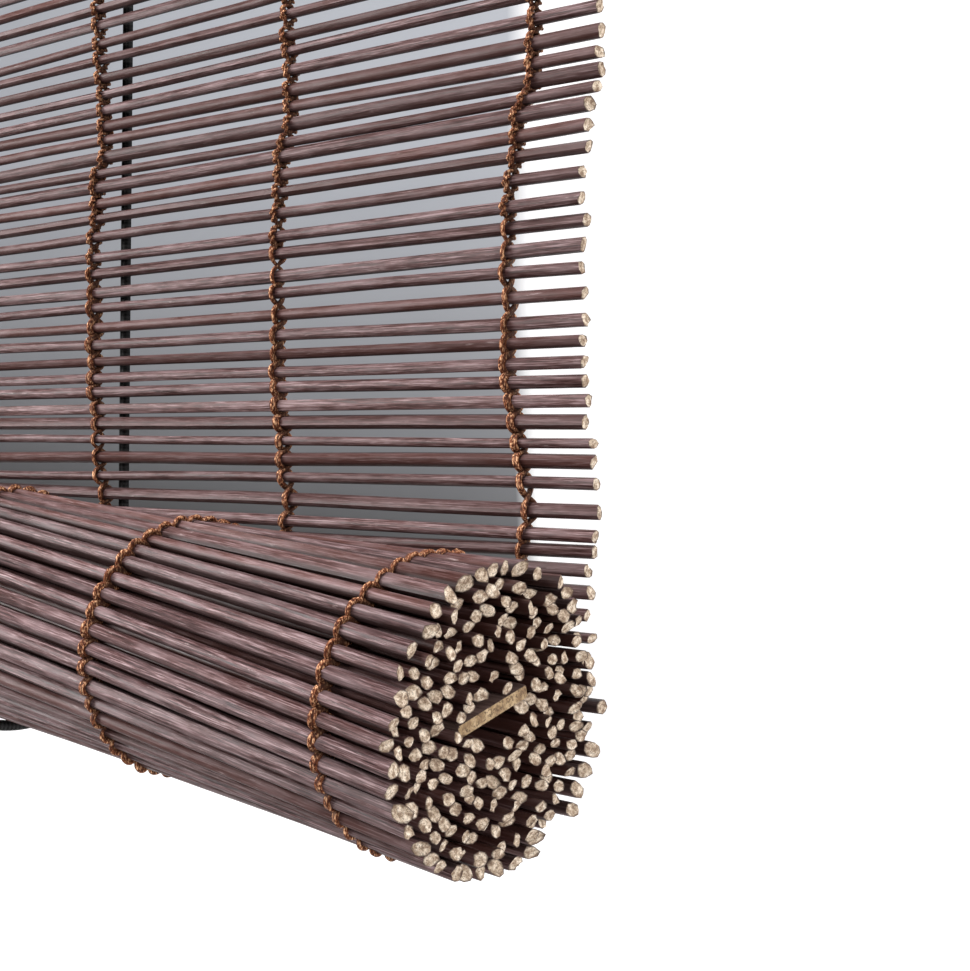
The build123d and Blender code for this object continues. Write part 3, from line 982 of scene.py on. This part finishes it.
def corners(centre, radius, start, end, count):
    """Corners of an open polygon round a circle, with one point on the run before and after it."""
    turn = (end - start) / count
    outer = radius / math.cos(turn / 2)
    ring = [(start + (k + 0.5) * turn) for k in range(-1, count + 1)]
    points = [(centre[0] + outer * math.cos(a), centre[1] + outer * math.sin(a)) for a in ring]
    first = (centre[0] + radius * math.cos(start), centre[1] + radius * math.sin(start))
    last = (centre[0] + radius * math.cos(end), centre[1] + radius * math.sin(end))
    points[0] = tuple(2 * f - p for f, p in zip(first, points[1]))
    points[-1] = tuple(2 * f - p for f, p in zip(last, points[-2]))
    return points


def touch_angle(centre, far, far_radius, side):
    """The angle on the roll's loop where a straight run from another circle touches it."""
    span = (far[0] - centre[0], far[1] - centre[1])
    apart = math.hypot(*span)
    return math.atan2(span[1], span[0]) + side * math.acos((ROLL_LOOP - far_radius) / apart)


def roll_height(x):
    """Height of the leaning roll's axis at a place across the blind."""
    return SEAM_Z + (HALF_WIDTH - x) * math.tan(ROLL_TILT)


def cord_points(x):
    """Control points of a lift cord, in millimetres."""
    centre = (ROLL_Y, roll_height(x))
    rear = touch_angle(centre, ANCHOR, 0, -1)
    front = touch_angle(centre, (SHEAVE_Y, SHEAVE_Z), SHEAVE_LOOP, 1)
    under = corners(centre, ROLL_LOOP, rear, front - 2 * math.pi, ROLL_CORNERS)
    over = corners((SHEAVE_Y, SHEAVE_Z), SHEAVE_LOOP, front, 0.0, SHEAVE_CORNERS)
    end = (SHEAVE_Y + SHEAVE_LOOP, CORD_END_Z)
    return [(x, y, z) for y, z in (ANCHOR, *under, *over, end)]


print("control points of a cord", len(cord_points(CORD_PLACES["right"])))

# %% Make the cords
CORD_STEPS = 10
CORD_ROUND = 3
KNOT_POINTS = 24
KNOT_TURN = 1.15
KNOT_SWELL = 0.5
KNOT_RISE = 0.9
KNOT_DROP = 1.6
KNOT_YARN = 1.05
BRAID_LENGTH = 2.4


def round_cord(points, radius, name, closed=False):
    """A round cord along a NURBS line, from control points in millimetres."""
    made = nurbs_curve(np.array(points) * MM, name, CORD_STEPS, closed)
    made.data.bevel_depth = radius * MM
    made.data.bevel_resolution = CORD_ROUND
    return made


def knot_points(x):
    """A small overhand knot that hangs at the cord's end."""
    points = []
    for k in range(KNOT_POINTS):
        turn = 2 * math.pi * k / KNOT_POINTS
        ring = (1 + KNOT_SWELL * math.cos(3 * turn)) * KNOT_TURN
        y = SHEAVE_Y + SHEAVE_LOOP + ring * math.cos(2 * turn)
        z = CORD_END_Z - KNOT_DROP + KNOT_RISE * KNOT_TURN * math.sin(3 * turn)
        points.append((x + ring * math.sin(2 * turn), y, z))
    return points


def braid_map(piece, x):
    """UV map that counts yarns along the cord and across it."""
    uv = piece.data.uv_layers.new(name="braid")
    centre_z = roll_height(x)
    for loop in piece.data.loops:
        place = piece.data.vertices[loop.vertex_index].co / MM
        below = place.z < centre_z
        run = math.atan2(place.y - ROLL_Y, place.z - centre_z) * ROLL_LOOP if below else place.z
        uv.data[loop.index].uv = (run / BRAID_LENGTH, (place.x - x) / CORD_RADIUS)


for side, x in CORD_PLACES.items():
    run = round_cord(cord_points(x), CORD_RADIUS, "cord")
    knot = round_cord(knot_points(x), KNOT_YARN, "knot", closed=True)
    cord = make_mesh([run, knot], f"braided_cord_{side}", cord_braid)
    braid_map(cord, x)
    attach(cord, "root")
    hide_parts(f"lift_cord_{side}")
    print(cord.name, "faces", len(cord.data.polygons))

# %% [markdown]
# ## Rail and hardware
# The rail, the clamp strip and the small metal parts keep the measured shapes, which are exact. They get
# finishes only: stained wood with long grain, brushed and dull steel, and brass on the sheaves.

# %% Metal finishes


def metal_finish(name, colour, worn, rough, brush):
    """Metal with fine brush marks and darker, rougher patches."""
    material, shader = new_material(name)
    place = add_node(material, "TexCoord").outputs["Object"]
    lines = noise(material, place, brush, 4.0, 0.6)
    cloud = noise(material, place, (180, 180, 180))
    final = mix(material, step_up(material, cloud, 0.42, 0.68, 0.0, 0.7), colour, worn)
    roughness = step_up(material, cloud, 0.35, 0.7, *rough)
    finish_shader(material, shader, final, roughness, lines, 0.15, 0.0001)
    shader.inputs["Metallic"].default_value = 1.0
    return material


rail_stain = wood_finish(
    "rail_stain", (0.016, 0.008, 0.006), (0.046, 0.023, 0.019), (0.088, 0.050, 0.043), 700, (0.45, 0.6)
)
bracket_steel = metal_finish(
    "bracket_plate", (0.46, 0.45, 0.43), (0.28, 0.27, 0.26), (0.28, 0.46), (300, 300, 4200)
)
sheave_brass = metal_finish(
    "sheave_metal", (0.60, 0.42, 0.17), (0.34, 0.22, 0.09), (0.22, 0.42), (4000, 300, 300)
)
fixing_steel = metal_finish(
    "fixing_metal", (0.33, 0.30, 0.27), (0.15, 0.12, 0.10), (0.32, 0.55), (900, 900, 900)
)
print("finishes", rail_stain.name, bracket_steel.name, sheave_brass.name, fixing_steel.name)

# %% Dress the measured parts
FINISHES = {
    "head_rail": rail_stain,
    "clamp_strip": rail_stain,
    "clamp_nails": fixing_steel,
    "bracket_screws": fixing_steel,
    "pulley_bracket": bracket_steel,
    "sheave": sheave_brass,
    "sheave_pin": fixing_steel,
    "lock_pin": fixing_steel,
}
dressed = 0
for name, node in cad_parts.items():
    kind = name.removesuffix("_left").removesuffix("_right")
    if kind in FINISHES:
        node.data.materials.clear()
        node.data.materials.append(FINISHES[kind])
        dressed += 1
print("measured parts dressed", dressed)

# %% [markdown]
# ## Stage and light
# A bright wall stands behind the blind, with a floor below; the wall glows so that it stays white. Behind
# the mat it has a painted shade, darkest just above the roll, where the blind would keep the light off it:
# that is the bluish grey in the gaps. The wall is seen from its front only, so the back of the blind can be
# looked at too. Three soft lights shape the reeds: one from above, one from the right that shows the cut
# ends, and one from the left along the roll.

# %% Stage finish
WALL_Y = 0.03
FLOOR_Z = -0.62
STAGE_REACH = 3.0
WALL_PAINT = 0.55
WALL_GLOW = 0.8
FLOOR_PAINT = 0.25
SHADE_HALF_WIDTH = 0.2415
SHADE_SHIFTS = (-0.0035, 0.0085)
SHADE_FOOT = 0.004
SHADE_SOFT = 0.008
SHADE_BOTTOM = -0.305
SHADE_SHIFT_HEIGHTS = (-0.10, -0.015)
SHADE_FOOT_HEIGHTS = (-0.26, -0.19)
SHADE_DIM_HEIGHTS = (-0.265, 0.0)
SHADE_ACROSS = (0.85, 1.2)
SHADE_PAINT = (0.10, 0.10, 0.105)
SHADE_STOPS = (
    (0.0, (0.05, 0.05, 0.05)),
    (0.2, (0.23, 0.235, 0.25)),
    (0.45, (0.40, 0.415, 0.45)),
    (1.0, (0.45, 0.47, 0.51)),
)
PAINT_ROUGH = 0.95


def stage_paint(name, paint):
    """Paint that is seen from its front side only, and its main shader."""
    material, shader = new_material(name)
    shader.inputs["Base Color"].default_value = (paint, paint, paint, 1)
    shader.inputs["Roughness"].default_value = PAINT_ROUGH
    shader.inputs["Specular IOR Level"].default_value = 0.0
    back = add_node(material, "NewGeometry").outputs["Backfacing"]
    clear = add_node(material, "BsdfTransparent").outputs[0]
    seen = add_node(material, "MixShader", {0: back, 1: shader.outputs[0], 2: clear})
    output = [n for n in material.node_tree.nodes if n.type == "OUTPUT_MATERIAL"][0]
    material.node_tree.links.new(seen.outputs[0], output.inputs[0])
    return material, shader


def shaded_wall():
    """A glowing wall with a painted soft shade that follows the mat's edge and ends behind the leaning roll.
    """
    material, shader = stage_paint("wall_paint", WALL_PAINT)
    links = material.node_tree.links
    spot = add_node(material, "TexCoord").outputs["Object"]
    place = add_node(material, "SeparateXYZ", {"Vector": spot}).outputs
    height = times(material, times(material, place[0], math.tan(ROLL_TILT)), place[2], "ADD")
    aside = add_node(material, "Math", {0: place[0]}, operation="ABSOLUTE").outputs[0]
    shift = step_up(material, height, *SHADE_SHIFT_HEIGHTS, *SHADE_SHIFTS)
    foot = step_up(material, height, *SHADE_FOOT_HEIGHTS, SHADE_FOOT, 0.0)
    footed = times(material, times(material, aside, shift, "SUBTRACT"), foot, "SUBTRACT")
    within = step_up(material, footed, SHADE_HALF_WIDTH - SHADE_SOFT, SHADE_HALF_WIDTH, 1.0, 0.0)
    above = step_up(material, height, SHADE_BOTTOM, SHADE_BOTTOM + SHADE_SOFT)
    below = step_up(material, height, 0.0, SHADE_SOFT, 1.0, 0.0)
    shade = times(material, within, times(material, above, below))
    # Painted shade: behind the mat the glow is a dimmer bluish grey, darkest just above the roll and lighter
    # towards the sides, on a darker paint.
    dim = ramp(material, step_up(material, height, *SHADE_DIM_HEIGHTS), *SHADE_STOPS)
    across = step_up(material, aside, 0.0, SHADE_HALF_WIDTH, *SHADE_ACROSS)
    graded = add_node(material, "VectorMath", {0: dim, "Scale": across}, operation="SCALE").outputs[0]
    glow = mix(material, shade, (WALL_GLOW, WALL_GLOW, WALL_GLOW), graded)
    paint = mix(material, shade, (WALL_PAINT, WALL_PAINT, WALL_PAINT), SHADE_PAINT)
    links.new(glow, shader.inputs["Emission Color"])
    links.new(paint, shader.inputs["Base Color"])
    shader.inputs["Emission Strength"].default_value = 1.0
    return material


wall_paint = shaded_wall()
floor_paint = stage_paint("floor_paint", FLOOR_PAINT)[0]
print("finishes", wall_paint.name, floor_paint.name)

# %% Stage


def stage_plane(name, places, material):
    """A plane with its corners put in their places."""
    select_none()
    bpy.ops.mesh.primitive_plane_add(size=1)
    plane = bpy.context.object
    plane.name = name
    for vertex, place in zip(plane.data.vertices, places):
        vertex.co = place
    plane.data.materials.append(material)
    return plane


low, high = FLOOR_Z, FLOOR_Z + STAGE_REACH
near, left, right = WALL_Y - STAGE_REACH, -STAGE_REACH, STAGE_REACH
floor_places = ((left, near, low), (right, near, low), (left, WALL_Y, low), (right, WALL_Y, low))
wall_places = ((left, WALL_Y, low), (right, WALL_Y, low), (left, WALL_Y, high), (right, WALL_Y, high))
floor = stage_plane("floor", floor_places, floor_paint)
wall = stage_plane("wall", wall_places, wall_paint)
print("stage normals", [tuple(round(c) for c in p.data.polygons[0].normal) for p in (floor, wall)])

# %% Light
WORLD_COLOUR = (0.97, 0.98, 1.0, 1)
WORLD_STRENGTH = 0.10
# name, place, target, size, power and colour of each light
LIGHTS = (
    ("key_light", (1.55, -0.85, 0.05), (0.25, -0.02, -0.2), 0.3, 13, (1.0, 0.985, 0.97)),
    ("top_light", (0.0, -0.75, 1.05), (0.0, -0.03, -0.2), 0.6, 30, (0.99, 0.985, 1.0)),
    ("left_light", (-0.65, -0.75, 0.0), (-0.08, -0.03, -0.15), 0.5, 15, (1.0, 0.98, 0.98)),
)


def soft_light(name, place, target, size, power, colour):
    """A square soft light that looks at a target."""
    data = bpy.data.lights.new(name, "AREA")
    data.size = size
    data.energy = power
    data.color = colour
    lamp = bpy.data.objects.new(name, data)
    lamp.location = place
    direction = np.array(target) - np.array(place)
    yaw = math.atan2(direction[1], direction[0])
    fall = math.atan2(math.hypot(direction[0], direction[1]), -direction[2])
    lamp.rotation_euler = (fall, 0, yaw - math.pi / 2)
    bpy.context.scene.collection.objects.link(lamp)


for light in LIGHTS:
    soft_light(*light)
world = bpy.data.worlds.new("studio")
world.use_nodes = True
world.node_tree.nodes["Background"].inputs[0].default_value = WORLD_COLOUR
world.node_tree.nodes["Background"].inputs[1].default_value = WORLD_STRENGTH
bpy.context.scene.world = world
bpy.context.scene.view_settings.view_transform = "Standard"
print("lights", len(LIGHTS))
